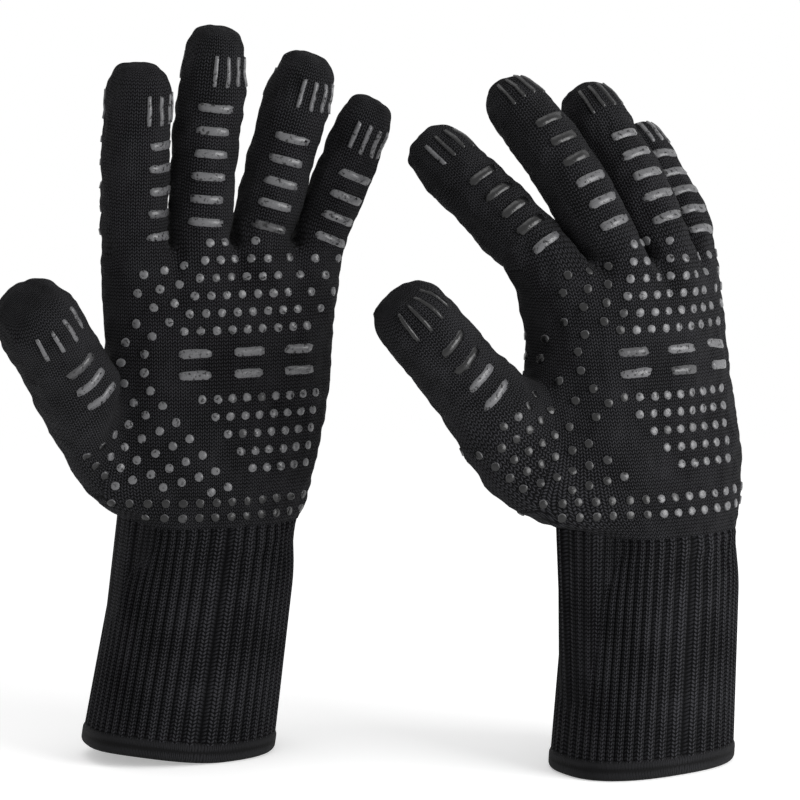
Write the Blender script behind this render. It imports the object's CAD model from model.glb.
"""The looks of a pair of knitted heat resistant gloves that stand on their rib cuffs.

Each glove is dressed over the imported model: a knitted hand and five knitted fingers that are cut from one
smooth surface, a cotton liner inside them, a rib cuff, a bound hem and a raised silicone grip print on both
faces. Units are metres, +Z is up and -Y is the viewer's side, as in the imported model.
"""

from __future__ import annotations

import logging
import math
from dataclasses import dataclass
from enum import Enum
from typing import Callable, Iterator

import bmesh
import bpy
from mathutils import Matrix, Vector, noise
from mathutils.bvhtree import BVHTree

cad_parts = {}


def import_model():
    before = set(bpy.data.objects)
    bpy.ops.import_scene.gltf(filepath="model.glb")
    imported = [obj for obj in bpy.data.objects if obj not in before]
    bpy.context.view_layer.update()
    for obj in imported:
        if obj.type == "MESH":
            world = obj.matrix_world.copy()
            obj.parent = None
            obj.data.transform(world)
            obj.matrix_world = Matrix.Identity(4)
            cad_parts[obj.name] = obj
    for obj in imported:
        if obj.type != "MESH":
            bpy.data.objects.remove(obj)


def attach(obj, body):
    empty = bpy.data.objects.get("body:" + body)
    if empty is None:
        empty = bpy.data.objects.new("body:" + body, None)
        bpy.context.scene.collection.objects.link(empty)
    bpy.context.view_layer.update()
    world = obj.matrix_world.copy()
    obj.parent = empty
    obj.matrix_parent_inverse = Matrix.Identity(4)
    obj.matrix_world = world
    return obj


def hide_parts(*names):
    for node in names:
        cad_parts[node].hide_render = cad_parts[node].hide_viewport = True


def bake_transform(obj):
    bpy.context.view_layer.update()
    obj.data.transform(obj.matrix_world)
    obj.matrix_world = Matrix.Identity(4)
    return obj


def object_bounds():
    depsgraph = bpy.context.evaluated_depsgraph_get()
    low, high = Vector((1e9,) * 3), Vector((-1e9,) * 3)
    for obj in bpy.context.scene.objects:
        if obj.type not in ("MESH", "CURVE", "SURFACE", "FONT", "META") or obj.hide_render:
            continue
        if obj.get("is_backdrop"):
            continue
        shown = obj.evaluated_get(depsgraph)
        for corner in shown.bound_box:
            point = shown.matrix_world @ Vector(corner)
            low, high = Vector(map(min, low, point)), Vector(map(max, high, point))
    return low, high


LOG = logging.getLogger("gloves")

MM = 0.001
STITCH_UV = "stitches"
WHOLE_NORMAL = "whole_normal"
RUBBED = "rubbed"
ROOT_BODY = "gloves"

# Nearly all of a noise's values lie in this span.
NOISE_SPAN = (0.3, 0.7)

Span = tuple[float, float]
Place = tuple[float, float, float]
Seat = Callable[[float, float], "tuple[Vector, Vector] | None"]


class Region(Enum):
    """The parts of the knitted surface that aren't a finger, by the number that marks their faces."""

    LINING = 0
    HAND = 1


class Finger(Enum):
    """The five fingers, by the mark on the faces of their knuckle bands. Their stalls have the next mark."""

    THUMB = 2
    INDEX = 4
    MIDDLE = 6
    RING = 8
    LITTLE = 10

    @property
    def label(self) -> str:
        """The finger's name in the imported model."""
        return self.name.lower()

    @property
    def regions(self) -> tuple[int, int]:
        """The marks of its knuckle band and its stall."""
        return self.value, self.value + 1


class Face(Enum):
    """The two faces of a glove, by the sign of the way that they look along Y."""

    VIEWER = -1
    FAR = 1


FOUR_FINGERS = (Finger.INDEX, Finger.MIDDLE, Finger.RING, Finger.LITTLE)


def mix(first: float, last: float, share: float) -> float:
    """The value at a share of the way from first to last."""
    return first + (last - first) * share


def smooth_share(value: float, low: float, high: float) -> float:
    """How far a value has come from low to high, from 0 to 1, easing in and out."""
    share = min(1.0, max(0.0, (value - low) / (high - low)))
    return share * share * (3.0 - 2.0 * share)


def linear(code: str) -> tuple[float, float, float, float]:
    """Turns an sRGB hex colour to linear.

    Args:
        code: The colour as six hex digits.

    Returns:
        The linear colour with full opacity.
    """
    levels = [int(code[place : place + 2], 16) / 255.0 for place in (0, 2, 4)]
    red, green, blue = (v / 12.92 if v <= 0.04045 else ((v + 0.055) / 1.055) ** 2.4 for v in levels)
    return red, green, blue, 1.0


def add_node(
    tree: bpy.types.NodeTree, kind: str, inputs: dict | None = None, **settings: object
) -> bpy.types.Node:
    """Adds a node with its settings, values and links.

    Args:
        tree: The node tree that the node goes into.
        kind: The node's type.
        inputs: A value, or a socket to link from, for each input's name or number.
        settings: The node's own properties.

    Returns:
        The new node.
    """
    node = tree.nodes.new(kind)
    for name, value in settings.items():
        setattr(node, name, value)
    for key, value in (inputs or {}).items():
        if isinstance(value, bpy.types.NodeSocket):
            tree.links.new(value, node.inputs[key])
        else:
            node.inputs[key].default_value = value
    return node


@dataclass(frozen=True)
class StitchFinish:
    """A knitted or bound cloth: columns of V stitches whose yarn stands up and whose gaps are dark.

    The pattern runs along the piece's own stitch map. Its column, row, relief and rib are in millimetres, as
    are its fibres and its clouds of light and shade. The slant is how many rows an arm of a stitch climbs in
    the width of a column.
    """

    name: str
    yarn: str
    gap: str
    column: float
    row: float
    slant: float
    relief: float
    fuzz: float
    roughness: float
    sheen: float
    gloss: float
    rib: float = 0.0
    fibre: float = 0.5263
    cloud: float = 20.0
    cloudy: float = 0.12
    strand_rounding: float = 0.7
    arm_rounding: float = 0.5
    yarn_from: Span = (0.22, 0.72)
    furrow_side: Span = (0.02, 0.3)
    furrow_light: float = 0.2

    def material(self) -> bpy.types.Material:
        """Builds the cloth.

        Returns:
            The material, with the stitches in its colour and its bump.
        """
        made = bpy.data.materials.new(self.name)
        made.use_nodes = True
        tree = made.node_tree
        tree.nodes.clear()
        stitches = add_node(tree, "ShaderNodeUVMap", uv_map=STITCH_UV)
        place = add_node(tree, "ShaderNodeSeparateXYZ", {0: stitches.outputs[0]})
        column = add_node(tree, "ShaderNodeMath", {0: place.outputs[0], 1: self.column}, operation="DIVIDE")
        side = add_node(tree, "ShaderNodeMath", {0: column.outputs[0], 1: 0.5}, operation="PINGPONG")
        row = add_node(tree, "ShaderNodeMath", {0: place.outputs[1], 1: self.row}, operation="DIVIDE")
        lean = {0: side.outputs[0], 1: -self.slant, 2: row.outputs[0]}
        leaning = add_node(tree, "ShaderNodeMath", lean, operation="MULTIPLY_ADD")
        strand = add_node(tree, "ShaderNodeMath", {0: leaning.outputs[0], 1: 0.5}, operation="PINGPONG")
        strand_share = add_node(tree, "ShaderNodeMath", {0: strand.outputs[0], 1: 2.0}, operation="MULTIPLY")
        rounding = {0: strand_share.outputs[0], 1: self.strand_rounding}
        strand_round = add_node(tree, "ShaderNodeMath", rounding, operation="POWER")
        arm = add_node(tree, "ShaderNodeMath", {0: side.outputs[0], 1: 0.25}, operation="PINGPONG")
        arm_share = add_node(tree, "ShaderNodeMath", {0: arm.outputs[0], 1: 4.0}, operation="MULTIPLY")
        rounding = {0: arm_share.outputs[0], 1: self.arm_rounding}
        arm_round = add_node(tree, "ShaderNodeMath", rounding, operation="POWER")
        bead = {0: strand_round.outputs[0], 1: arm_round.outputs[0]}
        height = add_node(tree, "ShaderNodeMath", bead, operation="MULTIPLY")
        # Loose fibre ends break up the clean stitches, and wear and light catch the cloth unevenly over a few
        # centimetres.
        pattern = {"Vector": stitches.outputs[0], "Scale": 1.0 / self.fibre, "Detail": 3.0}
        fibres = add_node(tree, "ShaderNodeTexNoise", pattern)
        pattern = {"Vector": stitches.outputs[0], "Scale": 1.0 / self.cloud, "Detail": 2.0}
        cloud = add_node(tree, "ShaderNodeTexNoise", pattern)
        loose = {"Value": fibres.outputs["Fac"], "To Min": -self.fuzz, "To Max": self.fuzz}
        ruffle = add_node(tree, "ShaderNodeMapRange", loose)
        ruffled = {0: height.outputs[0], 1: ruffle.outputs[0]}
        fuzzy = add_node(tree, "ShaderNodeMath", ruffled, operation="ADD")
        span = {"Value": cloud.outputs["Fac"], "From Min": NOISE_SPAN[0], "From Max": NOISE_SPAN[1]}
        shade = {**span, "To Min": -self.cloudy, "To Max": self.cloudy}
        uneven = add_node(tree, "ShaderNodeMapRange", shade)
        lit = {0: fuzzy.outputs[0], 1: uneven.outputs[0]}
        bright = add_node(tree, "ShaderNodeMath", lit, operation="ADD")
        crisp = {"Value": bright.outputs[0], "From Min": self.yarn_from[0], "From Max": self.yarn_from[1]}
        share = add_node(tree, "ShaderNodeMapRange", crisp, interpolation_type="SMOOTHSTEP")
        if self.rib > 0.0:
            # A rib's crown catches the light and the furrow beside it stays dark.
            rib = add_node(tree, "ShaderNodeMath", {0: place.outputs[0], 1: self.rib}, operation="DIVIDE")
            crown = add_node(tree, "ShaderNodeMath", {0: rib.outputs[0], 1: 0.5}, operation="PINGPONG")
            low, high = self.furrow_side
            span = {"Value": crown.outputs[0], "From Min": low, "From Max": high, "To Min": self.furrow_light}
            rise = add_node(tree, "ShaderNodeMapRange", span, interpolation_type="SMOOTHSTEP")
            shaded = {0: share.outputs[0], 1: rise.outputs[0]}
            share = add_node(tree, "ShaderNodeMath", shaded, operation="MULTIPLY")
        colours = {0: share.outputs[0], 6: linear(self.gap), 7: linear(self.yarn)}
        colour = add_node(tree, "ShaderNodeMix", colours, data_type="RGBA")
        bump_inputs = {"Height": fuzzy.outputs[0], "Strength": 1.0, "Distance": self.relief * MM}
        bump = add_node(tree, "ShaderNodeBump", bump_inputs)
        cloth = {
            "Base Color": colour.outputs[2],
            "Normal": bump.outputs[0],
            "Roughness": self.roughness,
            "Sheen Weight": self.sheen,
            "Sheen Roughness": 0.5,
            "Specular IOR Level": self.gloss,
        }
        shader = add_node(tree, "ShaderNodeBsdfPrincipled", cloth)
        add_node(tree, "ShaderNodeOutputMaterial", {0: shader.outputs[0]})
        return made


# Yarn of aramid and cotton, knitted plain: matte black with a soft fibre sheen, and each V stitch shows.
BLACK_KNIT = StitchFinish(
    name="plain knitted black yarn",
    yarn="313134",
    gap="060607",
    column=2.1,
    row=1.55,
    slant=1.5,
    relief=0.8,
    fuzz=0.35,
    roughness=0.88,
    sheen=0.02,
    gloss=0.05,
)
# The same yarn knitted in ribs: two plaited columns of stitches on each rib and a dark furrow beside it.
BLACK_RIB = StitchFinish(
    name="rib knitted black yarn",
    yarn="303033",
    gap="050506",
    column=2.5,
    row=1.7,
    slant=1.3,
    relief=0.45,
    fuzz=0.3,
    roughness=0.9,
    sheen=0.02,
    gloss=0.05,
    rib=5.0,
)
# A hem bound over and over with thread: fine upright strands, a little darker than the cuff.
BLACK_BINDING = StitchFinish(
    name="overlocked black thread",
    yarn="1e1e20",
    gap="0a0a0b",
    column=1.3,
    row=4.5,
    slant=0.4,
    relief=0.3,
    fuzz=0.3,
    roughness=0.85,
    sheen=0.02,
    gloss=0.1,
)
# Cotton jersey, much finer than the outer yarn, in dark grey.
GREY_COTTON = StitchFinish(
    name="grey cotton jersey",
    yarn="5c5c5f",
    gap="38383a",
    column=1.1,
    row=0.9,
    slant=1.4,
    relief=0.2,
    fuzz=0.3,
    roughness=0.95,
    sheen=0.1,
    gloss=0.2,
)


@dataclass(frozen=True)
class SiliconeFinish:
    """Silicone printed on the cloth and cured: a grey bloom over glossy black, which is rubbed off in places.

    Its fleck, where the bloom is missing, and its relief are in millimetres.
    """

    name: str
    bloom: str
    bare: str
    fleck: float
    smooth: float
    dull: float
    relief: float
    bloom_from: Span = (0.34, 0.44)
    ior: float = 1.43

    def material(self) -> bpy.types.Material:
        """Builds the silicone.

        Returns:
            The material, with bare flecks in its colour and a grain that ruffles its gloss.
        """
        made = bpy.data.materials.new(self.name)
        made.use_nodes = True
        tree = made.node_tree
        tree.nodes.clear()
        place = add_node(tree, "ShaderNodeTexCoord")
        pattern = {"Vector": place.outputs["Object"], "Scale": 1.0 / (self.fleck * MM), "Detail": 2.0}
        grain = add_node(tree, "ShaderNodeTexNoise", pattern)
        low, high = self.bloom_from
        worn = {"Value": grain.outputs["Fac"], "From Min": low, "From Max": high}
        cover = add_node(tree, "ShaderNodeMapRange", worn)
        rubbed = add_node(tree, "ShaderNodeAttribute", attribute_name=RUBBED)
        kept = add_node(tree, "ShaderNodeMath", {0: 1.0, 1: rubbed.outputs["Fac"]}, operation="SUBTRACT")
        bloomed = {0: cover.outputs[0], 1: kept.outputs[0]}
        shown = add_node(tree, "ShaderNodeMath", bloomed, operation="MULTIPLY")
        colours = {0: shown.outputs[0], 6: linear(self.bare), 7: linear(self.bloom)}
        colour = add_node(tree, "ShaderNodeMix", colours, data_type="RGBA")
        span = {"Value": grain.outputs["Fac"], "From Min": NOISE_SPAN[0], "From Max": NOISE_SPAN[1]}
        gloss = add_node(tree, "ShaderNodeMapRange", {**span, "To Min": self.smooth, "To Max": self.dull})
        bump_inputs = {"Height": grain.outputs["Fac"], "Strength": 1.0, "Distance": self.relief * MM}
        bump = add_node(tree, "ShaderNodeBump", bump_inputs)
        rubber = {
            "Base Color": colour.outputs[2],
            "Roughness": gloss.outputs[0],
            "Normal": bump.outputs[0],
            "IOR": self.ior,
        }
        shader = add_node(tree, "ShaderNodeBsdfPrincipled", rubber)
        add_node(tree, "ShaderNodeOutputMaterial", {0: shader.outputs[0]})
        return made


# Silicone rubber printed in glossy black: it looks grey where it mirrors a lamp, and elsewhere black with
# bright edges. The white surround can't show that, so a pale bloom stands in for the mirrored lamp, and it is
# rubbed off where the print looks black.
PRINTED_SILICONE = SiliconeFinish(
    name="printed silicone", bloom="58585a", bare="0c0c0d", fleck=1.6, smooth=0.2, dull=0.36, relief=0.2
)


@dataclass(frozen=True)
class FingerSize:
    """A finger's root width and stub, its length from root to tip, and its knuckle's and tip's radii."""

    root_width: float
    stub: float
    length: float
    base_radius: float
    tip_radius: float

    @property
    def side_width(self) -> float:
        """How wide each of its six sides is, in millimetres."""
        return self.base_radius * math.pi / 3.0 / MM


FINGER_SIZES = {
    Finger.THUMB: FingerSize(0.044, 0.026, 0.094, 0.0177, 0.0180),
    Finger.INDEX: FingerSize(0.029, 0.009, 0.083, 0.0148, 0.0148),
    Finger.MIDDLE: FingerSize(0.028, 0.009, 0.099, 0.0142, 0.0145),
    Finger.RING: FingerSize(0.028, 0.009, 0.089, 0.0145, 0.0141),
    Finger.LITTLE: FingerSize(0.025, 0.009, 0.070, 0.0125, 0.0122),
}


@dataclass(frozen=True)
class FingerPose:
    """How a finger stands, in degrees: sideways from upright, bent at its root, and curled up to its tip."""

    splay: float
    bend: float
    curl: float


@dataclass(frozen=True)
class FingerGrip:
    """The print on one finger, by distances from its root and degrees round it from the viewer's face.

    The bars and the strips on the tip have their own start and turn. The bloom is rubbed off beyond
    rubbed_from.
    """

    first_bar: float
    bars: int
    turn: float
    strips_from: float
    strips_turn: float
    rubbed_from: float


@dataclass(frozen=True)
class GlovePose:
    """One glove of the pair: where it stands, how it leans and bends, and the way that its palm faces.

    A palm that faces -1 faces the viewer. The print's shifts are in millimetres, and so are the limits across
    the hand and up from the wrist beyond which its bloom is rubbed off.
    """

    name: str
    place: tuple[float, float]
    turn: float
    cuff_lean: float
    palm_lean: float
    palm_tip: float
    palm_faces: int
    arch: float
    thumb_out: float
    thumb_heel: float
    web_drawn_in: float
    hem_lift: float
    print_up: float
    fan_shift: Span
    heel_shift: float
    rubbed_across: float
    rubbed_below: float
    fingers: dict[Finger, FingerPose]
    grips: dict[Finger, FingerGrip]

    def world(self) -> Matrix:
        """The matrix that carries the glove's own frame to the floor."""
        moved = Matrix.Translation(Vector((*self.place, 0.0)))
        return moved @ Matrix.Rotation(math.radians(self.turn), 4, "Z")


OPEN_GLOVE_AT = (-0.0888, 0.0068)
GLOVE_SPACING = 0.2040
GLOVE_FORWARD = 0.0220

OPEN_GLOVE = GlovePose(
    name="left",
    place=OPEN_GLOVE_AT,
    turn=20.0,
    cuff_lean=9.0,
    palm_lean=3.0,
    palm_tip=0.0,
    palm_faces=-1,
    arch=0.0,
    thumb_out=-0.0005,
    thumb_heel=0.015,
    web_drawn_in=0.0,
    hem_lift=0.006,
    print_up=0.0,
    fan_shift=(0.0, 0.0),
    heel_shift=0.0,
    rubbed_across=-55.0,
    rubbed_below=15.0,
    fingers={
        Finger.THUMB: FingerPose(-34.5, 22.0, 8.0),
        Finger.INDEX: FingerPose(1.0, 2.0, 8.0),
        Finger.MIDDLE: FingerPose(5.0, 1.0, 6.0),
        Finger.RING: FingerPose(15.0, 1.0, 6.0),
        Finger.LITTLE: FingerPose(22.0, 2.0, 8.0),
    },
    grips={
        Finger.THUMB: FingerGrip(0.0245, 4, 11.0, 0.0740, 10.0, 0.100),
        Finger.INDEX: FingerGrip(0.0063, 5, 38.0, 0.0620, 40.0, 0.100),
        Finger.MIDDLE: FingerGrip(0.0115, 6, -6.0, 0.0775, 23.0, 0.110),
        Finger.RING: FingerGrip(0.0085, 5, -8.0, 0.0690, 22.0, 0.100),
        Finger.LITTLE: FingerGrip(0.0030, 4, 8.0, 0.0500, 7.0, 0.100),
    },
)
CURLED_GLOVE = GlovePose(
    name="right",
    place=(OPEN_GLOVE_AT[0] + GLOVE_SPACING, OPEN_GLOVE_AT[1] - GLOVE_FORWARD),
    turn=33.0,
    cuff_lean=3.5,
    palm_lean=-0.5,
    palm_tip=17.0,
    palm_faces=1,
    arch=0.024,
    thumb_out=-0.0010,
    thumb_heel=0.034,
    web_drawn_in=0.009,
    hem_lift=0.0,
    print_up=6.0,
    fan_shift=(-27.0, 4.0),
    heel_shift=-10.0,
    rubbed_across=-19.0,
    rubbed_below=0.0,
    fingers={
        Finger.THUMB: FingerPose(-42.0, 2.0, 4.0),
        Finger.INDEX: FingerPose(-26.5, 40.0, 10.0),
        Finger.MIDDLE: FingerPose(-17.0, 18.0, 38.0),
        Finger.RING: FingerPose(-11.0, 23.0, 21.0),
        Finger.LITTLE: FingerPose(-4.0, 37.0, 9.0),
    },
    grips={
        Finger.THUMB: FingerGrip(0.0330, 4, 0.0, 0.0810, 0.0, 0.048),
        Finger.INDEX: FingerGrip(0.0030, 5, 0.0, 0.0640, 0.0, 0.014),
        Finger.MIDDLE: FingerGrip(0.0140, 6, 0.0, 0.0840, 0.0, 0.036),
        Finger.RING: FingerGrip(0.0140, 5, 0.0, 0.0740, 0.0, 0.058),
        Finger.LITTLE: FingerGrip(0.0050, 5, 0.0, 0.0580, 0.0, 0.070),
    },
)

# Cloth thicknesses and clearances, and how square the ovals of the cuff and the hand are (2 is an ellipse).
KNIT_WALL = 0.0019
LINER_WALL = 0.0014
LAYER_GAP = 0.0008
SQUARENESS = 2.5

# Hem and rib cuff.
HEM_HEIGHT = 0.009
HEM_STAND_PROUD = 0.0004
LIFT_FROM = 0.3
CUFF_TOP = 0.104
CUFF_BOTTOM_HALF = (0.0425, 0.0290)
CUFF_TOP_HALF = (0.0392, 0.0272)
RIB_COUNT = 48
RIB_DEPTH = 0.0015
LINER_INSET = KNIT_WALL + LAYER_GAP + RIB_DEPTH

# Hand: rows from the wrist to the finger roots as (share of its length, half width, half depth).
PALM_LENGTH = 0.121
PALM_ROWS = (
    (0.07, 0.0440, 0.0278),
    (0.31, 0.0515, 0.0272),
    (0.54, 0.0530, 0.0250),
    (0.77, 0.0550, 0.0225),
    (1.00, 0.0580, 0.0190),
)
SIDE_REACH = 0.96
WEB_COLUMNS = (2, 4, 6)
ROOT_SCALLOP = 0.80
HEEL_WRIST_SHARE = 0.25
THUMB_ROWS = (1, 2, 3)
THUMB_ROOT_PALMWARD = 0.0100
THUMB_ROOT_UP = 0.003

# Fingers: lengths are from the roots.
BAND_LENGTH = 0.017
CAGE_SWELL = 1.2
TIP_RINGS = ((0.85, 1.0), (0.97, 0.62))
TIP_FACES = ((0, 1, 4, 5), (1, 2, 3, 4))
RING_SIDES = 6
RING_STEP = 360.0 / RING_SIDES


def superellipse(angle: float, half: list[float], squareness: float) -> tuple[float, float]:
    """A point of a rounded oval with these half sizes, at an angle round it."""
    c, s = math.cos(angle), math.sin(angle)
    power = 2.0 / squareness
    return half[0] * math.copysign(abs(c) ** power, c), half[1] * math.copysign(abs(s) ** power, s)


def cuff_half(height: float) -> list[float]:
    """The cuff's half width and half depth at a height."""
    return [mix(low, high, height / CUFF_TOP) for low, high in zip(CUFF_BOTTOM_HALF, CUFF_TOP_HALF)]


def hem_lift_at(pose: GlovePose, x: float, height: float) -> float:
    """How far the soft hem has lifted off the floor on the thumb's side, fading out up the cuff."""
    share = smooth_share(-x / CUFF_BOTTOM_HALF[0], -LIFT_FROM, 1.0)
    fade = 1.0 - min(1.0, max(0.0, (height - HEM_HEIGHT) / (CUFF_TOP - HEM_HEIGHT)))
    return pose.hem_lift * share * fade


def cuff_point(pose: GlovePose, angle: float, height: float, outset: float) -> Vector:
    """Finds a point on the cuff's wall.

    Args:
        pose: The glove that the cuff is on.
        angle: The angle round the cuff, in radians.
        height: The height up the cuff.
        outset: How far the point stands out along the wall's normal.

    Returns:
        The point in the glove's own frame.
    """
    half = cuff_half(height)
    x, y = superellipse(angle, half, SQUARENESS)
    steepness = SQUARENESS - 1.0
    normal = Vector(
        (
            math.copysign((abs(x) / half[0]) ** steepness / half[0], x),
            math.copysign((abs(y) / half[1]) ** steepness / half[1], y),
        )
    ).normalized()
    lean = height * math.tan(math.radians(pose.cuff_lean))
    lifted = height + hem_lift_at(pose, x, height)
    return Vector((x + normal.x * outset + lean, y + normal.y * outset, lifted))


def column_shares() -> list[float]:
    """Where the hand's columns stand across it, from -1 at the thumb's side to 1, two for each finger."""
    edges = [0.0]
    for finger in FOUR_FINGERS:
        half = FINGER_SIZES[finger].root_width / 2.0
        edges += [edges[-1] + half, edges[-1] + 2.0 * half]
    return [2.0 * edge / edges[-1] - 1.0 for edge in edges]


def oval_ring(centre: Vector, half: Span, scallop: float = 1.0, arch: float = 0.0) -> list[Vector]:
    """Lays a ring round the hand: the viewer's side from the thumb across, then the far side back again.

    Args:
        centre: The middle of the ring.
        half: Its half width and half depth.
        scallop: How much of its depth is left between the fingers.
        arch: How far its sides stand behind its middle.

    Returns:
        The ring's corners.
    """
    front, back = [], []
    for column, share in enumerate(column_shares()):
        reach = SIDE_REACH * share
        depth = half[1] * (1.0 - abs(reach) ** SQUARENESS) ** (1.0 / SQUARENESS)
        if column in WEB_COLUMNS:
            depth *= scallop
        middle = centre + Vector((half[0] * reach, arch * (share * share - 1.0), 0.0))
        front.append(middle - Vector((0.0, depth, 0.0)))
        back.append(middle + Vector((0.0, depth, 0.0)))
    return front + back[::-1]


class FingerPath:
    """The middle line of a finger, which bends in one plane towards the palm, and the frame along it."""

    def __init__(self, pose: GlovePose, finger: Finger, root: Vector) -> None:
        """Sets out the line from its root, as the glove's pose says."""
        stand = pose.fingers[finger]
        splay = math.radians(stand.splay)
        self.root = root
        self.size = FINGER_SIZES[finger]
        self.side = Vector((math.cos(splay), 0.0, -math.sin(splay)))
        self.up = Vector((math.sin(splay), 0.0, math.cos(splay)))
        self.inward = Vector((0.0, pose.palm_faces, 0.0))
        self.bend = math.radians(stand.bend)
        self.curl = math.radians(stand.curl)

    def angle(self, along: float) -> float:
        """How far the finger has bent at a distance along it."""
        return self.bend + self.curl * along / self.size.length

    def centre(self, along: float) -> Vector:
        """The middle line at a distance from the root."""
        turn = self.curl / self.size.length
        end = self.angle(along)
        rise = (math.sin(end) - math.sin(self.bend)) / turn
        reach = (math.cos(self.bend) - math.cos(end)) / turn
        return self.root + self.up * rise + self.inward * reach

    def outward(self, along: float, turn: float) -> Vector:
        """The direction out of the middle line, at an angle from the viewer's face towards the side."""
        angle = self.angle(along)
        onward = self.up * math.cos(angle) + self.inward * math.sin(angle)
        front = self.side.cross(onward)
        return front * math.cos(turn) + self.side * math.sin(turn)

    def ring(self, along: float, radius: float) -> list[Vector]:
        """Six cage corners round the finger, from the thumb's side of the viewer's face to the far face."""
        centre = self.centre(along)
        turns = [math.radians(RING_STEP * (corner - 1)) for corner in range(RING_SIDES)]
        return [centre + self.outward(along, turn) * radius * CAGE_SWELL for turn in turns]


class StitchMap:
    """The stitches' own map in millimetres: across the columns by a ring's sides, along them by its rings."""

    def __init__(self, bm: bmesh.types.BMesh) -> None:
        """Adds the map to a mesh."""
        self.layer = bm.loops.layers.uv.new(STITCH_UV)

    def lay(self, face: bmesh.types.BMFace, places: dict[bmesh.types.BMVert, Span]) -> None:
        """Puts a face's corners at their places on the map."""
        for loop in face.loops:
            loop[self.layer].uv = places[loop.vert]


def grow(
    bm: bmesh.types.BMesh,
    loop: list[bmesh.types.BMVert],
    targets: list[Vector],
    region: int,
    stitches: StitchMap,
    across: list[Span],
    along: Span,
) -> list[bmesh.types.BMVert]:
    """Extrudes a closed loop of corners to new places.

    Args:
        bm: The mesh that the loop is in.
        loop: The corners to extrude.
        targets: Where the new corners go.
        region: The number that marks the new faces.
        stitches: The stitch map.
        across: Where each side of the loop starts and ends across the stitch columns, in millimetres.
        along: Where the old and the new loop lie along the stitch columns, in millimetres.

    Returns:
        The new loop.
    """
    ends = loop[1:] + loop[:1]
    edges = [bm.edges.get(pair) for pair in zip(loop, ends)]
    made = bmesh.ops.extrude_edge_only(bm, edges=edges)["geom"]
    fresh = {item for item in made if isinstance(item, bmesh.types.BMVert)}
    grown = [next(e.other_vert(v) for e in v.link_edges if e.other_vert(v) in fresh) for v in loop]
    for vert, target in zip(grown, targets):
        vert.co = target
    grown_ends = grown[1:] + grown[:1]
    low, high = along
    for start, end, far_end, far_start, (left, right) in zip(loop, ends, grown_ends, grown, across):
        corners = (start, end, far_end, far_start)
        face = bm.faces.get(corners)
        face.material_index = region
        places = ((left, low), (right, low), (right, high), (left, high))
        stitches.lay(face, dict(zip(corners, places)))
    return grown


def start_ring(bm: bmesh.types.BMesh, points: list[Vector]) -> list[bmesh.types.BMVert]:
    """A closed loop of corners at these points."""
    ring = bmesh.ops.create_circle(bm, segments=len(points), radius=1.0)["verts"]
    for vert, point in zip(ring, points):
        vert.co = point
    return ring


def close_loops(
    bm: bmesh.types.BMesh, first: list[bmesh.types.BMVert], last: list[bmesh.types.BMVert]
) -> None:
    """Joins the first and last loops of a grown wall, so that it is closed."""
    edges = []
    for loop in (first, last):
        edges += [bm.edges.get(pair) for pair in zip(loop, loop[1:] + loop[:1])]
    bmesh.ops.bridge_loops(bm, edges=edges)
    bmesh.ops.recalc_face_normals(bm, faces=bm.faces)


def mesh_from(bm: bmesh.types.BMesh, name: str) -> bpy.types.Mesh:
    """Turns a bmesh into a smooth-shaded mesh and frees it."""
    for face in bm.faces:
        face.smooth = True
        face.material_index = 0
    mesh = bpy.data.meshes.new(name)
    bm.to_mesh(mesh)
    bm.free()
    return mesh


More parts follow.
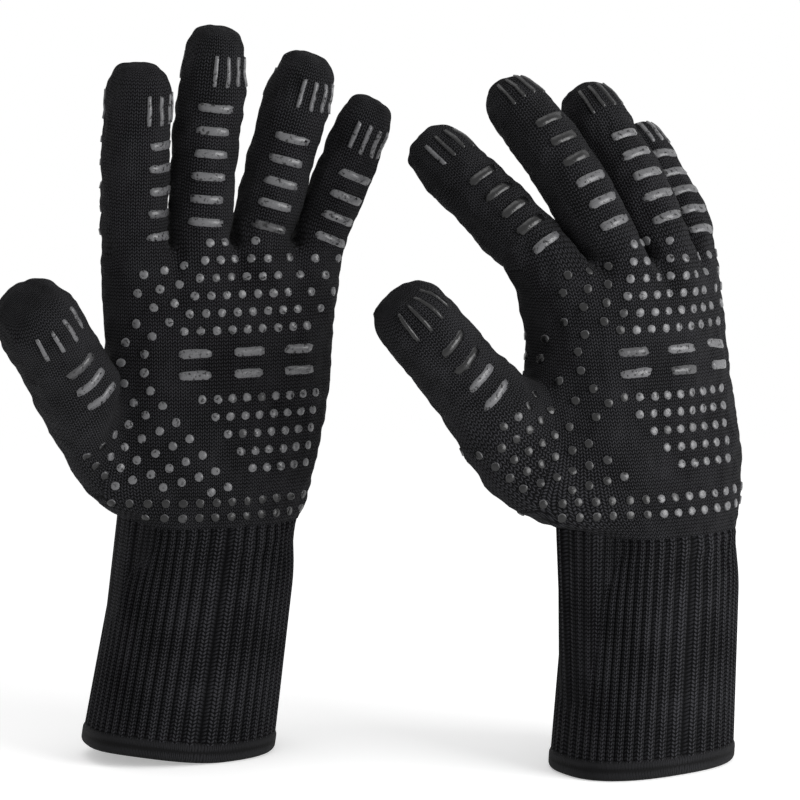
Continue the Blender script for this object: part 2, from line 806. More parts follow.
class Cage:
    """The coarse cage of one glove, whose smoothed surface all of its knitted pieces are cut from."""

    def __init__(self, pose: GlovePose) -> None:
        """Grows the cage from the cuff's foot up the hand and out along the fingers."""
        self.pose = pose
        self.paths: dict[Finger, FingerPath] = {}
        self.webs: list[Vector] = []
        self.bm = bmesh.new()
        self.stitches = StitchMap(self.bm)
        self._grow_hand()
        bmesh.ops.recalc_face_normals(self.bm, faces=self.bm.faces)

    def wrist(self) -> Vector:
        """The middle of the cuff's top edge."""
        return Vector((CUFF_TOP * math.tan(math.radians(self.pose.cuff_lean)), 0.0, CUFF_TOP))

    def palm_axis(self) -> Vector:
        """The direction from the wrist to the finger roots."""
        lean, tip = math.radians(self.pose.palm_lean), math.radians(self.pose.palm_tip)
        rise = math.cos(tip)
        return Vector((math.sin(lean) * rise, self.pose.palm_faces * math.sin(tip), math.cos(lean) * rise))

    def palm_columns(self) -> list[Span]:
        """Where each side of the hand's rings lies across the columns, a whole number of them all round."""
        ring = oval_ring(Vector(), PALM_ROWS[2][1:])
        lengths = [(end - start).length / MM for start, end in zip(ring, ring[1:] + ring[:1])]
        fit = round(sum(lengths) / BLACK_KNIT.column) * BLACK_KNIT.column / sum(lengths)
        edges = [0.0]
        for length in lengths:
            edges.append(edges[-1] + length * fit)
        return list(zip(edges, edges[1:]))

    def _grow_hand(self) -> None:
        """Grows the cuff's and the hand's rings, the four fingers from the last and the thumb from a side."""
        pose, bm = self.pose, self.bm
        columns = self.palm_columns()
        ring = start_ring(bm, oval_ring(Vector(), CUFF_BOTTOM_HALF))
        first_row = PALM_ROWS[0][0] * PALM_LENGTH
        lean = math.tan(math.radians(pose.cuff_lean))
        below = -CUFF_TOP / MM
        for height in (CUFF_TOP - first_row, CUFF_TOP):
            targets = oval_ring(Vector((height * lean, 0.0, height)), tuple(cuff_half(height)))
            above = (height - CUFF_TOP) / MM
            ring = grow(bm, ring, targets, Region.LINING.value, self.stitches, columns, (below, above))
            below = above
        rings = [ring]
        for row, (share, half_width, half_depth) in enumerate(PALM_ROWS):
            centre = self.wrist() + self.palm_axis() * PALM_LENGTH * share
            scallop = ROOT_SCALLOP if row == len(PALM_ROWS) - 1 else 1.0
            arch = pose.palm_faces * pose.arch * share * share
            targets = oval_ring(centre, (half_width, half_depth), scallop, arch)
            above = PALM_LENGTH * share / MM
            ring = grow(bm, ring, targets, Region.HAND.value, self.stitches, columns, (below, above))
            below = above
            rings.append(ring)
        for side in (0, -1):
            rings[THUMB_ROWS[0]][side].co.x -= pose.thumb_heel
            rings[0][side].co.x += pose.thumb_heel * HEEL_WRIST_SHARE
            rings[THUMB_ROWS[-1] + 1][side].co.x += pose.web_drawn_in
        last = len(ring) - 1
        for column in WEB_COLUMNS:
            bm.edges.new((ring[column], ring[last - column]))
            self.webs.append((ring[column].co + ring[last - column].co) / 2.0)
        for place, finger in enumerate(FOUR_FINGERS):
            first = 2 * place
            loop = ring[first : first + 3] + ring[last - first - 2 : last - first + 1]
            wall = FINGER_SIZES[finger].side_width
            front, back = columns[first : first + 2], columns[last - first - 2 : last - first]
            across = [*front, (front[1][1], front[1][1] + wall), *back, (back[1][1], back[1][1] + wall)]
            self._grow_finger(finger, loop, across, below)
        self._grow_thumb(rings, last)

    def _grow_thumb(self, rings: list[list[bmesh.types.BMVert]], last: int) -> None:
        """Opens the thumb's side of the hand and grows the thumb from the hole."""
        low, middle, high = (rings[row] for row in THUMB_ROWS)
        pairs = ((low, middle), (middle, high))
        sides = [self.bm.faces.get((a[0], a[last], b[last], b[0])) for a, b in pairs]
        bmesh.ops.delete(self.bm, geom=sides, context="FACES")
        loop = [low[0], middle[0], high[0], high[last], middle[last], low[last]]
        wall = FINGER_SIZES[Finger.THUMB].side_width
        across = [(wall * side, wall * (side + 1)) for side in range(RING_SIDES)]
        self._grow_finger(Finger.THUMB, loop, across, 0.0)

    def _grow_finger(
        self, finger: Finger, loop: list[bmesh.types.BMVert], across: list[Span], start: float
    ) -> None:
        """Grows a finger's stub, knuckle band, stall and rounded tip from its root.

        Args:
            finger: Which finger.
            loop: The six corners at its root.
            across: Where its six sides lie across the stitch columns.
            start: Where its root lies along them.
        """
        pose, bm = self.pose, self.bm
        root = sum((vert.co for vert in loop), Vector()) / len(loop)
        if finger is Finger.THUMB:
            root += Vector((-pose.thumb_out, pose.palm_faces * THUMB_ROOT_PALMWARD, THUMB_ROOT_UP))
        path = FingerPath(pose, finger, root)
        size = path.size
        band, stall = finger.regions
        band_end = size.stub + BAND_LENGTH
        first_tip = TIP_RINGS[0][0] * size.length
        rows = [
            (size.stub, mix(size.root_width / 2.0, size.base_radius, 0.5), Region.HAND.value),
            (band_end, size.base_radius, band),
            (mix(band_end, first_tip, 0.5), mix(size.base_radius, size.tip_radius, 0.5), stall),
        ]
        rows += [(share * size.length, size.tip_radius * narrowing, stall) for share, narrowing in TIP_RINGS]
        below = start
        for along, radius, region in rows:
            above = start + along / MM
            loop = grow(bm, loop, path.ring(along, radius), region, self.stitches, across, (below, above))
            below = above
        depth = 2.0 * size.tip_radius * TIP_RINGS[-1][1] / MM
        for side, corners in enumerate(TIP_FACES):
            verts = [loop[corner] for corner in corners]
            face = bm.faces.new(verts)
            face.material_index = stall
            low, high = across[side]
            places = ((low, below), (high, below), (high, below + depth), (low, below + depth))
            self.stitches.lay(face, dict(zip(verts, places)))
        self.paths[finger] = path

    def smoothed(self, rounds: int, name: str) -> bpy.types.Mesh:
        """Smooths the cage.

        Args:
            rounds: How many rounds of Catmull-Clark smoothing.
            name: The new mesh's name.

        Returns:
            The smooth surface, with the cage's marks and stitch map.
        """
        rough = bpy.data.meshes.new(name + "_cage")
        self.bm.to_mesh(rough)
        helper = bpy.data.objects.new(name, rough)
        bpy.context.scene.collection.objects.link(helper)
        smoothing = helper.modifiers.new("Smooth", "SUBSURF")
        smoothing.levels = smoothing.render_levels = rounds
        graph = bpy.context.evaluated_depsgraph_get()
        mesh = bpy.data.meshes.new_from_object(helper.evaluated_get(graph))
        bpy.data.objects.remove(helper)
        bpy.data.meshes.remove(rough)
        return mesh


@dataclass(frozen=True)
class Rumple:
    """How the soft cloth departs from its smooth form: broad swells, and finer waves where it is slack."""

    swell: float = 0.0011
    swell_size: float = 0.030
    wave: float = 0.0008
    wave_size: float = 0.010
    pucker: float = 0.0007
    pucker_size: float = 0.0045
    crease: float = 0.0017
    crease_width: float = 0.0038
    crease_above: float = 0.012
    crease_below: float = 0.020
    crease_full: float = 0.2
    wave_from: Place = (7.0, 3.0, 5.0)
    pucker_from: Place = (2.0, 9.0, 4.0)

    def height(self, point: Vector) -> float:
        """How far the cloth stands out at a point."""
        broad = noise.noise(point / self.swell_size)
        fine = noise.noise(point / self.wave_size + Vector(self.wave_from))
        finest = noise.noise(point / self.pucker_size + Vector(self.pucker_from))
        return self.swell * broad + self.wave * fine + self.pucker * finest

    def crease_depth(self, below: float, aside: float) -> float:
        """How deep the cloth is creased at a distance below the web of two fingers, and to one side of it."""
        rising = smooth_share(below, -self.crease_above, 0.0)
        fading = 1.0 - smooth_share(below, self.crease_full * self.crease_below, self.crease_below)
        return self.crease * rising * fading * math.exp(-((aside / self.crease_width) ** 2))


def cut_sheet(
    surface: bpy.types.Mesh, regions: tuple[int, ...], inset: float, wall: float, name: str
) -> bpy.types.Mesh:
    """Cuts regions out of a whole surface and gives them a thickness.

    Args:
        surface: The surface, with its faces marked by region.
        regions: The marks of the faces to keep.
        inset: How far inside the surface the sheet's outer side lies.
        wall: The sheet's thickness.
        name: The new mesh's name.

    Returns:
        The closed sheet, shaded as the whole surface is, so that no seam shows where it was cut.
    """
    bm = bmesh.new()
    bm.from_mesh(surface)
    bm.normal_update()
    whole = bm.verts.layers.float_vector.new(WHOLE_NORMAL)
    for vert in bm.verts:
        vert[whole] = vert.normal
    others = [face for face in bm.faces if face.material_index not in regions]
    bmesh.ops.delete(bm, geom=others, context="FACES")
    rim = [edge.verts[:] for edge in bm.edges if edge.is_boundary]
    for vert in bm.verts:
        vert.co -= vert[whole] * inset
    made = bmesh.ops.duplicate(bm, geom=bm.verts[:] + bm.edges[:] + bm.faces[:])
    twins = made["vert_map"]
    inner = [face for face in made["geom"] if isinstance(face, bmesh.types.BMFace)]
    bmesh.ops.reverse_faces(bm, faces=inner)
    for vert in {vert for face in inner for vert in face.verts}:
        normal = vert[whole].copy()
        vert.co -= normal * wall
        vert[whole] = -normal
    for start, end in rim:
        bm.faces.new((start, end, twins[end], twins[start]))
    bmesh.ops.recalc_face_normals(bm, faces=bm.faces)
    mesh = mesh_from(bm, name)
    normals = [Vector(item.vector) for item in mesh.attributes[WHOLE_NORMAL].data]
    mesh.attributes.remove(mesh.attributes[WHOLE_NORMAL])
    mesh.normals_split_custom_set_from_vertices(normals)
    return mesh


def add_piece(name: str, mesh: bpy.types.Mesh, finish: bpy.types.Material, world: Matrix) -> bpy.types.Object:
    """Puts a finished piece of a glove into the scene.

    Args:
        name: The piece's name.
        mesh: Its mesh in the glove's own frame.
        finish: Its material.
        world: The matrix from the glove's frame to the floor.

    Returns:
        The new object, at the origin with its place in its mesh.
    """
    mesh.transform(world)
    mesh.materials.clear()
    mesh.materials.append(finish)
    made = bpy.data.objects.new(name, mesh)
    bpy.context.scene.collection.objects.link(made)
    LOG.info("%s: %d faces", name, len(mesh.polygons))
    return made


@dataclass
class Finishes:
    """The materials that the gloves share."""

    knit: bpy.types.Material
    rib: bpy.types.Material
    binding: bpy.types.Material
    cotton: bpy.types.Material
    silicone: bpy.types.Material


@dataclass(frozen=True)
class PrintBlock:
    """A slanting block of the print: rows that start one after another and may each lose a shape.

    Places are in millimetres across the hand, away from the thumb, and up from the wrist.
    """

    start: Span
    step: Span
    next_row: Span
    rows: int
    count: int
    lost: int = 1
    closing: Span = (0.0, 0.0)

    def places(self, shift: Span = (0.0, 0.0)) -> Iterator[Span]:
        """Where the middles of the shapes lie, moved by a shift."""
        for row in range(self.rows):
            for place in range(self.count - self.lost * row):
                yield tuple(
                    self.start[way] + shift[way] + self.next_row[way] * row
                    + (self.step[way] + self.closing[way] * row) * place
                    for way in range(2)
                )


@dataclass
class GripPrint:
    """The raised silicone print: the sizes of its shapes and its layout on a hand, in millimetres.

    Its shapes have flat tops and ragged edges. Where the bloom is rubbed off, it stays on the sheltered upper
    edge of each shape, and some shapes have lost more of it than others.
    """

    print_up: float = 0.0
    fan_shift: Span = (0.0, 0.0)
    heel_shift: float = 0.0
    dot: float = 4.1
    clear: float = 5.3
    rise: float = 0.7
    sunk: float = 0.35
    dash: Span = (14.5, 4.2)
    bar: Span = (16.0, 4.0)
    bar_pitch: float = 10.0
    strip: Span = (13.5, 2.0)
    strip_turn: float = 24.0
    strips: int = 4
    crown: float = 0.94
    shoulder: float = 0.84
    shoulder_rise: float = 0.72
    blunt_end: float = 0.10
    uneven: float = 0.16
    ragged_per_mm: float = 0.45
    dot_sides: int = 12
    bar_steps: int = 8
    bar_lanes: int = 3
    rub_fade: float = 8.0
    rubbed_from: Span = (0.25, 0.75)
    sheltered_below: float = 0.9
    patchy: float = 0.9
    patch_size: float = 9.0
    dash_rows: PrintBlock = PrintBlock((-18.0, 76.3), (24.0, 0.0), (0.0, -9.3), 2, 3, lost=0)
    root_block: PrintBlock = PrintBlock((-23.0, 86.0), (7.1, 0.0), (2.3, 7.5), 6, 9)
    root_thumb_side: PrintBlock = PrintBlock((-29.4, 90.2), (2.3, 7.9), (-6.5, 6.2), 3, 4)
    root_little_side: PrintBlock = PrintBlock((40.8, 93.0), (-5.1, 7.6), (7.0, 6.8), 3, 4)
    heel_block: PrintBlock = PrintBlock((-14.6, 56.5), (6.7, 0.0), (5.9, -7.7), 5, 9)
    wrist_rows: PrintBlock = PrintBlock((-63.9, 11.5), (7.1, 0.0), (0.0, -6.5), 2, 15, lost=0)
    thumb_fan: PrintBlock = PrintBlock((-31.4, 54.2), (5.8, -7.2), (-6.6, -4.0), 6, 6, 0, (-0.15, 0.45))
    arc_middle: Span = (-14.5, 72.4)
    arc_turns: Span = (133.0, 227.0)
    arcs: tuple[tuple[float, int], ...] = ((24.9, 6), (33.0, 7))

    def dashes(self) -> Iterator[Span]:
        """Two rows of three dashes across the middle of the hand."""
        yield from self.dash_rows.places((0.0, self.print_up))

    def dots(self) -> Iterator[Span]:
        """Every dot on one face of a hand: below the fingers, on the heel, at the wrist and by the thumb."""
        up = self.print_up
        for block in (self.root_block, self.root_thumb_side, self.root_little_side):
            yield from block.places((0.0, up))
        yield from self.heel_block.places((self.heel_shift, up))
        yield from self.wrist_rows.places((0.0, up))
        yield from self.thumb_fan.places((self.fan_shift[0], self.fan_shift[1] + up))
        for radius, count in self.arcs:
            for step in range(count):
                turn = math.radians(mix(*self.arc_turns, step / (count - 1)))
                across = self.arc_middle[0] + radius * math.cos(turn)
                yield across, self.arc_middle[1] + radius * math.sin(turn) + up

    def dot_shape(self) -> bpy.types.Mesh:
        """A flat-topped dot with a rounded shoulder, across one unit and with its heights in millimetres."""
        bm = bmesh.new()
        disc = {"segments": self.dot_sides, "radius1": 1.0, "radius2": self.crown, "depth": 1.0}
        bmesh.ops.create_cone(bm, cap_ends=True, cap_tris=False, **disc)
        top = max(bm.faces, key=lambda face: face.calc_center_median().z)
        bmesh.ops.inset_region(bm, faces=[top], thickness=1.0 - self.shoulder)
        for vert in bm.verts:
            reach = vert.co.xy.length
            if reach > (1.0 + self.crown) / 2.0:
                vert.co.z = -self.sunk
            elif reach > (self.crown + self.shoulder) / 2.0:
                vert.co.z = self.rise * self.shoulder_rise
            else:
                vert.co.z = self.rise
        return mesh_from(bm, "dot shape")

    def bar_shape(self, size: Span) -> bpy.types.Mesh:
        """A flat-topped, round-ended bar of this length and width, in millimetres."""
        half_length, half_width = size[0] / 2.0, size[1] / 2.0
        bm = bmesh.new()
        bmesh.ops.create_grid(bm, x_segments=self.bar_steps, y_segments=self.bar_lanes, size=1.0)
        for vert in bm.verts:
            lane = math.copysign(1.0 if abs(vert.co.y) > 0.9 else self.shoulder, vert.co.y)
            along = math.sin(vert.co.x * math.pi / 2.0) * half_length
            past = max(0.0, abs(along) - (half_length - half_width)) / half_width
            width = half_width * math.sqrt(max(self.blunt_end, 1.0 - past * past))
            edge = max(abs(lane), past)
            height = self.rise if edge < (1.0 + self.crown) / 2.0 else -self.sunk
            vert.co = Vector((along, lane * width, height))
        return mesh_from(bm, "bar shape")

    def rubbed_past(self, past: float) -> float:
        """How far the bloom is rubbed off at this many millimetres past the line where that starts."""
        return smooth_share(past, -self.rub_fade / 2.0, self.rub_fade / 2.0)

    def press(
        self, bm: bmesh.types.BMesh, shape: bpy.types.Mesh, scale: float, seat: Seat, rubbed: float
    ) -> None:
        """Presses a shape on the cloth.

        Args:
            bm: The print's mesh.
            shape: The shape, with its heights in millimetres.
            scale: How many millimetres its units are across.
            seat: Gives the cloth's point and normal at a place on the shape, in millimetres from its middle.
            rubbed: How far its bloom is rubbed off there, which varies from one shape to the next.
        """
        before = len(bm.verts)
        bm.from_mesh(shape)
        layer = bm.verts.layers.float.get(RUBBED) or bm.verts.layers.float.new(RUBBED)
        bm.verts.ensure_lookup_table()
        middle = seat(0.0, 0.0)
        if middle is not None:
            rubbed += self.patchy * noise.noise(middle[0] / (self.patch_size * MM))
        bare = smooth_share(rubbed, *self.rubbed_from)
        for vert in bm.verts[before:]:
            right, up, height = vert.co
            sheltered = up > 0.0 and height < self.sheltered_below * self.rise
            vert[layer] = 0.0 if sheltered else bare
            ragged = 1.0
            if middle is not None:
                edge = (middle[0] / MM + Vector((right, up, 0.0)) * scale) * self.ragged_per_mm
                ragged += self.uneven * noise.noise(edge)
            place = seat(right * scale * ragged, up * scale * ragged)
            if place is not None:
                vert.co = place[0] + place[1] * height * MM


class KnitGlove:
    """One glove of the pair: its knitted hand and fingers, liner, cuff, hem and print."""

    FINE_ROUNDS = 4
    LINER_ROUNDS = 2
    BLEND_LENGTH = 0.038
    BLEND_CLEAR = 0.0006
    STEEPEST_DOT = 0.22
    SHARP_BEND = math.radians(20.0)
    RAY_START = 0.2
    RIB_FACETS = 8
    RIB_ROUNDING = 0.7
    CUFF_RINGS = 26
    CUFF_IN_HEM = 0.002
    CUFF_IN_HAND = 0.005
    CUFF_TUCK = 0.0025
    TUCK_BELOW_TOP = 0.001
    FOLLOWS_HAND = (0.030, 0.006)
    HEM_SIDES = 144
    HEM_ROUND = 0.0026
    HEM_ROUND_STEPS = 6
    HEM_GIRTH = 225.0

    def __init__(self, pose: GlovePose, finishes: Finishes) -> None:
        """Makes the glove's smooth surface, from which its pieces are cut."""
        self.pose = pose
        self.finishes = finishes
        self.world = pose.world()
        self.cage = Cage(pose)
        self.rumple = Rumple()
        self.surface = self._rumpled(self.cage.smoothed(self.FINE_ROUNDS, pose.name))
        self.lining = self._rumpled(self.cage.smoothed(self.LINER_ROUNDS, pose.name))
        whole = bmesh.new()
        whole.from_mesh(self.surface)
        self.tree = BVHTree.FromBMesh(whole)
        whole.free()

    def _rumpled(self, mesh: bpy.types.Mesh) -> bpy.types.Mesh:
        """Moves a smooth surface to the soft cloth's own form, and returns it."""
        shift = Vector((*self.pose.place, 0.0))
        axis = self.cage.palm_axis()
        moves = []
        for vert in mesh.vertices:
            stand = self.rumple.height(vert.co + shift)
            for web in self.cage.webs:
                away = vert.co - web
                stand -= self.rumple.crease_depth(-away.dot(axis), away.x)
            moves.append(vert.normal * stand)
        for vert, move in zip(mesh.vertices, moves):
            vert.co += move
        mesh.update()
        return mesh

    def node(self, piece: str) -> str:
        """The name of one of the glove's nodes."""
        return f"{self.pose.name}_{piece}"

    def build(self) -> None:
        """Builds every piece of the glove."""
        self.add_hand()
        for finger in Finger:
            self.add_finger(finger)
        self.add_cuff()
        self.add_hem()
        self.add_hand_print()

    def add_hand(self) -> None:
        """Adds the knitted hand and the liner inside it."""
        name = self.node("knitted_hand")
        mesh = cut_sheet(self.surface, (Region.HAND.value,), 0.0, KNIT_WALL, name)
        hand = add_piece(name, mesh, self.finishes.knit, self.world)
        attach(hand, ROOT_BODY)
        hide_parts(self.node("hand_shell"))
        name = self.node("cotton_hand")
        regions = (Region.LINING.value, Region.HAND.value)
        mesh = cut_sheet(self.lining, regions, LINER_INSET, LINER_WALL, name)
        for vert in mesh.vertices:
            vert.co.z = max(vert.co.z, HEM_HEIGHT + hem_lift_at(self.pose, vert.co.x, 0.0))
        liner = add_piece(name, mesh, self.finishes.cotton, self.world)
        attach(liner, ROOT_BODY)
        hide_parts(self.node("hand_liner"))

    def add_finger(self, finger: Finger) -> None:
        """Adds a knitted finger, its liner and its print, which bend together at the knuckle.

        Args:
            finger: Which finger.
        """
        label = finger.label
        name = self.node(f"{label}_knitted_finger")
        mesh = cut_sheet(self.surface, finger.regions, 0.0, KNIT_WALL, name)
        skin = add_piece(name, mesh, self.finishes.knit, self.world)
        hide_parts(self.node(f"{label}_stall"), self.node(f"{label}_knuckle_band"))
        name = self.node(f"{label}_cotton_finger")
        mesh = cut_sheet(self.lining, finger.regions, LINER_INSET, LINER_WALL, name)
        liner = add_piece(name, mesh, self.finishes.cotton, self.world)
        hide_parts(self.node(f"{label}_liner"))
        name = self.node(f"{label}_grip")
        grip = add_piece(name, self.finger_print(finger, name), self.finishes.silicone, self.world)
        path = self.cage.paths[finger]
        pivot = path.centre(path.size.stub)
        onward = (path.centre(path.size.stub + self.BLEND_LENGTH) - pivot).normalized()
        seam = self._seam_reach(finger, pivot, onward) + self.BLEND_CLEAR
        for piece in (skin, liner, grip):
            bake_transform(piece)

    def _seam_reach(self, finger: Finger, pivot: Vector, onward: Vector) -> float:
        """How far past its pivot the line lies where a finger was cut from the hand."""

        def corners(mark: int) -> set[int]:
            """The corners of the faces with this mark."""
            return {v for face in self.surface.polygons if face.material_index == mark for v in face.vertices}

        seam = corners(finger.regions[0]) & corners(Region.HAND.value)
        return max((self.surface.vertices[v].co - pivot).dot(onward) for v in seam)

    def add_cuff(self) -> None:
        """Adds the rib cuff: rounded ribs outside, and a plain bore round the liner."""
        bm = bmesh.new()
        stitches = StitchMap(bm)
        facets, rows = self.RIB_FACETS, self.CUFF_RINGS
        corners = RIB_COUNT * facets
        low, high = HEM_HEIGHT - self.CUFF_IN_HEM, CUFF_TOP + self.CUFF_IN_HAND

        def ring_at(height: float, rib: float, inset: float) -> list[Vector]:
            """A ring of the wall, with ribs of this depth."""
            points = []
            for corner in range(corners):
                phase = (corner % facets) / facets
                groove = 1.0 - math.sin(math.pi * phase) ** self.RIB_ROUNDING
                angle = 2.0 * math.pi * corner / corners
                points.append(self._cuff_wall(angle, height, -inset - rib * groove))
            return points

        step = BLACK_RIB.rib / facets
        across = [(step * corner, step * (corner + 1)) for corner in range(corners)]
        heights = [mix(low, high, row / rows) for row in range(rows + 1)]
        first = ring = start_ring(bm, ring_at(heights[0], RIB_DEPTH, 0.0))
        for below, above in zip(heights, heights[1:]):
            tuck = self.CUFF_TUCK * smooth_share(above, CUFF_TOP - self.TUCK_BELOW_TOP, high)
            targets = ring_at(above, RIB_DEPTH, tuck)
            ring = grow(bm, ring, targets, 0, stitches, across, (below / MM, above / MM))
        bore = RIB_DEPTH + KNIT_WALL
        for height in (high, low):
            ring = grow(bm, ring, ring_at(height, 0.0, bore), 0, stitches, across, (high / MM, low / MM))
        close_loops(bm, first, ring)
        name = self.node("ribbed_cuff")
        cuff = add_piece(name, mesh_from(bm, name), self.finishes.rib, self.world)
        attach(cuff, ROOT_BODY)
        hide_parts(self.node("rib_cuff"))

    def _cuff_wall(self, angle: float, height: float, outset: float) -> Vector:
        """A point on the cuff's wall, which comes to lie on the hand's own surface towards the wrist."""
        plain = cuff_point(self.pose, angle, min(height, CUFF_TOP), outset)
        share = smooth_share(height, *(CUFF_TOP - below for below in self.FOLLOWS_HAND))
        if share == 0.0:
            return plain
        lean = math.tan(math.radians(self.pose.cuff_lean))
        axis = Vector((height * lean, 0.0, height))
        out = Vector((plain.x - axis.x, plain.y - axis.y, 0.0)).normalized()
        point, normal, _, _ = self.tree.ray_cast(axis, out)
        if point is None:
            return plain
        flat = Vector((normal.x, normal.y, 0.0)).normalized()
        return plain.lerp(point + flat * outset, share)

    def add_hem(self) -> None:
        """Adds the bound hem: a soft round-edged band over the lower edges of the cuff and the liner."""
        bm = bmesh.new()
        stitches = StitchMap(bm)
        sides, steps, round_off = self.HEM_SIDES, self.HEM_ROUND_STEPS, self.HEM_ROUND
        outer = HEM_STAND_PROUD
        inner = -(RIB_DEPTH + 2.0 * KNIT_WALL + LAYER_GAP + LINER_WALL)
        section = []
        for edge, height, start in (
            (outer - round_off, round_off, -90.0),
            (outer - round_off, HEM_HEIGHT - round_off, 0.0),
            (inner + round_off, HEM_HEIGHT - round_off, 90.0),
            (inner + round_off, round_off, 180.0),
        ):
            for step in range(steps + 1):
                turn = math.radians(start + 90.0 * step / steps)
                section.append((edge + round_off * math.cos(turn), height + round_off * math.sin(turn)))

        def ring_at(outset: float, height: float) -> list[Vector]:
            """The band's ring at one corner of its section, standing on the floor or the lifted edge."""
            lean = height * math.tan(math.radians(self.pose.cuff_lean))
            turns = [2.0 * math.pi * side / sides for side in range(sides)]
            return [cuff_point(self.pose, turn, 0.0, outset) + Vector((lean, 0.0, height)) for turn in turns]

        step = self.HEM_GIRTH / sides
        across = [(step * side, step * (side + 1)) for side in range(sides)]
        first = ring = start_ring(bm, ring_at(*section[0]))
        for (_, below), (outset, above) in zip(section, section[1:]):
            ring = grow(bm, ring, ring_at(outset, above), 0, stitches, across, (below / MM, above / MM))
        close_loops(bm, first, ring)
        name = self.node("overlocked_hem")
        hem = add_piece(name, mesh_from(bm, name), self.finishes.binding, self.world)
        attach(hem, ROOT_BODY)
        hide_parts(self.node("bound_hem"))

    def _palm_place(self, face: Face, across: float, up: float) -> tuple[Vector, Vector] | None:
        """Finds a place on one face of the hand.

        Args:
            face: Which face.
            across: Millimetres from the middle of the hand, away from the thumb.
            up: Millimetres from the wrist.

        Returns:
            The cloth's point and normal, or None where no hand is, it is edge on or it has become a finger.
        """
        inside = self.cage.wrist() + self.cage.palm_axis() * up * MM + Vector((across * MM, 0.0, 0.0))
        look = Vector((0.0, -face.value, 0.0))
        point, normal, index, _ = self.tree.ray_cast(inside - look * self.RAY_START, look)
        if point is None or -normal.dot(look) < self.STEEPEST_DOT:
            return None
        on_hand = self.surface.polygons[index].material_index == Region.HAND.value
        return (point, normal) if on_hand else None

    def _patch_seat(self, point: Vector, normal: Vector) -> Seat:
        """Spreads a flat patch of print on the cloth about a point.

        Args:
            point: The patch's middle.
            normal: The cloth's normal there.

        Returns:
            The seat that a shape's corners take, by millimetres across and up.
        """
        across = Vector((1.0, 0.0, 0.0))
        across = (across - normal * across.dot(normal)).normalized()
        up = normal.cross(across)

        def seat(right: float, rise: float) -> tuple[Vector, Vector] | None:
            """The nearest cloth to a place on the patch."""
            near, turned, _, _ = self.tree.find_nearest(point + (across * right + up * rise) * MM)
            return (near, turned) if near is not None else None

        return seat

    def _rubbed(self, layout: GripPrint, across: float, up: float) -> float:
        """How far the bloom is rubbed off at a place on the hand: towards the thumb and at the wrist."""
        thumbwards = layout.rubbed_past(self.pose.rubbed_across - across)
        return max(thumbwards, layout.rubbed_past(self.pose.rubbed_below - up))

    def add_hand_print(self) -> None:
        """Adds the dots and dashes on both faces of the hand."""
        layout = GripPrint(self.pose.print_up, self.pose.fan_shift, self.pose.heel_shift)
        dot, dash = layout.dot_shape(), layout.bar_shape(layout.dash)
        for face in Face:
            bm = bmesh.new()
            taken: list[Vector] = []
            for across, up in layout.dots():
                place = self._palm_place(face, across, up)
                if place is None or any((place[0] - other).length < layout.clear * MM for other in taken):
                    continue
                taken.append(place[0])
                rubbed = self._rubbed(layout, across, up)
                layout.press(bm, dot, layout.dot / 2.0, self._patch_seat(*place), rubbed)
            for across, up in layout.dashes():
                place = self._palm_place(face, across, up)
                if place is not None:
                    rubbed = self._rubbed(layout, across, up)
                    layout.press(bm, dash, 1.0, self._patch_seat(*place), rubbed)
            name = self.node(f"{face.name.lower()}_hand_grip")
            grip = add_piece(name, mesh_from(bm, name), self.finishes.silicone, self.world)
            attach(grip, ROOT_BODY)

    def finger_print(self, finger: Finger, name: str) -> bpy.types.Mesh:
        """Makes the bars and tip strips of one finger.

        Args:
            finger: Which finger.
            name: The new mesh's name.

        Returns:
            The print's mesh, on both faces of the finger.
        """
        layout = GripPrint()
        bar_shape, strip_shape = layout.bar_shape(layout.bar), layout.bar_shape(layout.strip)
        grip = self.pose.grips[finger]
        path = self.cage.paths[finger]
        radius = path.size.tip_radius
        bm = bmesh.new()

        def seat_at(start: float, turn: float, lengthwise: bool) -> Seat:
            """The seat of a shape at a distance along the finger and an angle round it."""

            def seat(long: float, wide: float) -> tuple[Vector, Vector] | None:
                """The cloth straight out from the finger's middle line."""
                round_by, up = (wide, long) if lengthwise else (long, wide)
                along = start + up * MM
                out = path.outward(along, turn + round_by * MM / radius)
                point, normal, _, _ = self.tree.ray_cast(path.centre(along), out)
                return (point, normal) if point is not None else None

            return seat

        for face in Face:
            back = 0.0 if face is Face.VIEWER else math.pi
            folded = face.value == self.pose.palm_faces and path.bend > self.SHARP_BEND
            for bar in range(grip.bars):
                along = grip.first_bar + layout.bar_pitch * bar * MM
                if folded and along < path.size.stub:
                    # A bar in the fold at the root of a bent finger would pile up on itself.
                    continue
                rubbed = layout.rubbed_past((along - grip.rubbed_from) / MM)
                seat = seat_at(along, back + math.radians(grip.turn), False)
                layout.press(bm, bar_shape, 1.0, seat, rubbed)
            for strip in range(layout.strips):
                spread = layout.strip_turn * (strip - (layout.strips - 1) / 2.0)
                turn = back + math.radians(grip.strips_turn + spread)
                rubbed = layout.rubbed_past((grip.strips_from - grip.rubbed_from) / MM)
                layout.press(bm, strip_shape, 1.0, seat_at(grip.strips_from, turn, True), rubbed)
        return mesh_from(bm, name)


@dataclass(frozen=True)
class Softbox:
    """A rectangular lamp: where it stands, the point that it faces, its width and height, and its watts."""

    name: str
    place: Place
    aim: Place
    size: Span
    watts: float

    def add(self) -> None:
        """Adds the lamp."""
        lamp = bpy.data.lights.new(self.name, "AREA")
        lamp.shape = "RECTANGLE"
        lamp.size, lamp.size_y = self.size
        lamp.energy = self.watts
        placed = bpy.data.objects.new(self.name, lamp)
        placed.location = self.place
        placed.rotation_euler = (Vector(self.aim) - Vector(self.place)).to_track_quat("-Z", "Y").to_euler()
        bpy.context.scene.collection.objects.link(placed)


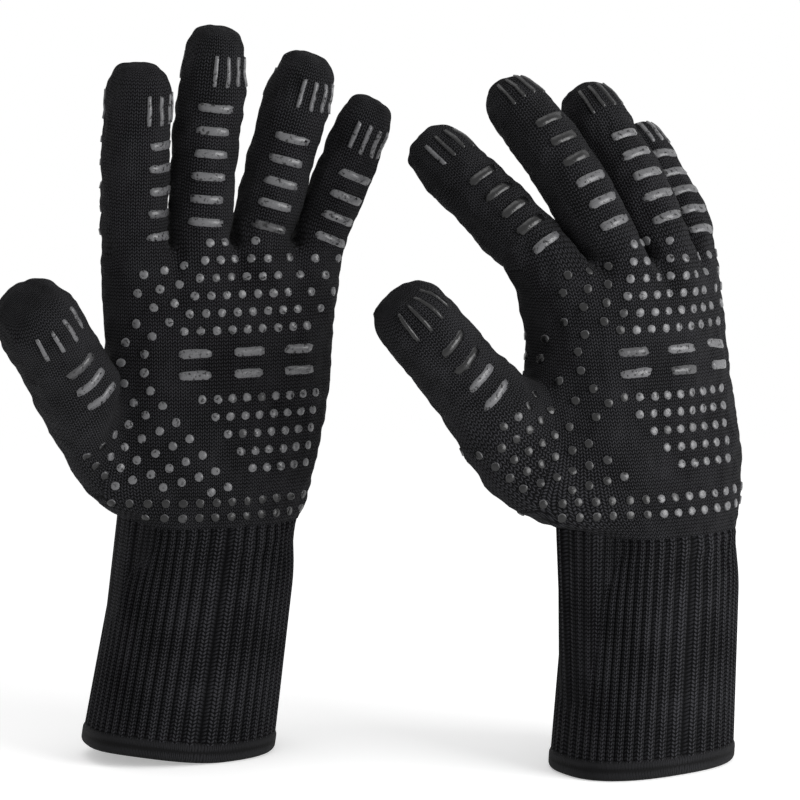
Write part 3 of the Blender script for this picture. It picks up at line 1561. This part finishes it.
# A large softbox in front of the gloves to the right, and a weaker one above.
SOFTBOXES = (
    Softbox("right softbox", (1.00, -0.54, 0.42), (0.02, 0.0, 0.17), (0.8, 0.78), 14.0),
    Softbox("top softbox", (-0.25, 0.10, 1.30), (0.0, 0.0, 0.15), (0.9, 0.9), 3.0),
)


@dataclass
class Studio:
    """The floor, the white surround and the camera."""

    aim: Place = (-0.0030, 0.0148, 0.0)
    distance: float = 1.6
    looks_down: float = 13.5
    metres_per_pixel: float = 0.00045
    picture: int = 800
    aim_pixel: Span = (371.0, 745.0)
    sensor: float = 36.0
    floor_half: float = 30.0
    floor_near: float = 0.45
    floor_far: float = 1.1
    floor_glow: float = 0.38
    surround_light: float = 0.52

    def add_camera(self) -> None:
        """Adds the camera where the photograph was taken from, looking at the middle of the picture."""
        down = math.radians(self.looks_down)
        straight = Vector((0.0, math.cos(down), -math.sin(down)))
        upright = Vector((0.0, math.sin(down), math.cos(down)))
        focal = self.distance / self.metres_per_pixel
        right = self.picture / 2.0 - self.aim_pixel[0]
        rise = self.aim_pixel[1] - self.picture / 2.0
        middle = straight * focal + Vector((right, 0.0, 0.0)) + upright * rise
        camera = bpy.data.cameras.new("camera")
        camera.sensor_width = self.sensor
        camera.lens = middle.length * self.sensor / self.picture
        placed = bpy.data.objects.new("camera", camera)
        placed.location = Vector(self.aim) - straight * self.distance
        placed.rotation_euler = middle.to_track_quat("-Z", "Y").to_euler()
        bpy.context.scene.collection.objects.link(placed)
        bpy.context.scene.camera = placed

    def add_floor(self) -> None:
        """Adds a white floor that takes the shadow near the gloves and is plain white further off."""
        bm = bmesh.new()
        bmesh.ops.create_grid(bm, x_segments=1, y_segments=1, size=self.floor_half)
        mesh = bpy.data.meshes.new("floor")
        bm.to_mesh(mesh)
        bm.free()
        floor = bpy.data.objects.new("floor", mesh)
        bpy.context.scene.collection.objects.link(floor)
        made = bpy.data.materials.new("white floor")
        made.use_nodes = True
        tree = made.node_tree
        tree.nodes.clear()
        place = add_node(tree, "ShaderNodeTexCoord")
        reach = add_node(tree, "ShaderNodeVectorMath", {0: place.outputs["Object"]}, operation="LENGTH")
        span = {"Value": reach.outputs["Value"], "From Min": self.floor_near, "From Max": self.floor_far}
        fade = add_node(tree, "ShaderNodeMapRange", span, interpolation_type="SMOOTHSTEP")
        paint = {"Base Color": linear("f7f7f7"), "Roughness": 0.9, "Specular IOR Level": 0.0}
        matte = add_node(tree, "ShaderNodeBsdfPrincipled", paint)
        glow = add_node(tree, "ShaderNodeEmission", {"Color": linear("ffffff"), "Strength": self.floor_glow})
        lifted = add_node(tree, "ShaderNodeAddShader", {0: matte.outputs[0], 1: glow.outputs[0]})
        white = add_node(tree, "ShaderNodeEmission", {"Color": linear("ffffff"), "Strength": 1.0})
        shaders = {0: fade.outputs[0], 1: lifted.outputs[0], 2: white.outputs[0]}
        both = add_node(tree, "ShaderNodeMixShader", shaders)
        add_node(tree, "ShaderNodeOutputMaterial", {0: both.outputs[0]})
        mesh.materials.append(made)
        floor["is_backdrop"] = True

    def add_world(self) -> None:
        """Adds an even white surround that the camera and reflections see as white."""
        world = bpy.data.worlds.new("white surround")
        bpy.context.scene.world = world
        world.use_nodes = True
        tree = world.node_tree
        tree.nodes.clear()
        rays = add_node(tree, "ShaderNodeLightPath")
        seen = {0: rays.outputs["Is Camera Ray"], 1: rays.outputs["Is Glossy Ray"]}
        first = add_node(tree, "ShaderNodeMath", seen, operation="MAXIMUM")
        seen = {0: first.outputs[0], 1: rays.outputs["Is Transmission Ray"]}
        either = add_node(tree, "ShaderNodeMath", seen, operation="MAXIMUM")
        level = {"Value": either.outputs[0], "To Min": self.surround_light}
        strength = add_node(tree, "ShaderNodeMapRange", level)
        shade = {"Color": linear("ffffff"), "Strength": strength.outputs[0]}
        background = add_node(tree, "ShaderNodeBackground", shade)
        add_node(tree, "ShaderNodeOutputWorld", {0: background.outputs[0]})


def main() -> None:
    """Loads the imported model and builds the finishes, the gloves and the studio round it."""
    logging.basicConfig(level=logging.INFO, format="%(name)s: %(message)s")
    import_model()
    cad_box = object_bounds()
    finishes = Finishes(
        knit=BLACK_KNIT.material(),
        rib=BLACK_RIB.material(),
        binding=BLACK_BINDING.material(),
        cotton=GREY_COTTON.material(),
        silicone=PRINTED_SILICONE.material(),
    )
    for pose in (OPEN_GLOVE, CURLED_GLOVE):
        KnitGlove(pose, finishes).build()
    studio = Studio()
    studio.add_floor()
    studio.add_world()
    for softbox in SOFTBOXES:
        softbox.add()
    studio.add_camera()
    bpy.context.scene.view_settings.view_transform = "Standard"
    boxes = {"cad": cad_box, "visual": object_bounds()}
    {name: [list(corner) for corner in box] for name, box in boxes.items()}


if __name__ == "__main__":
    main()
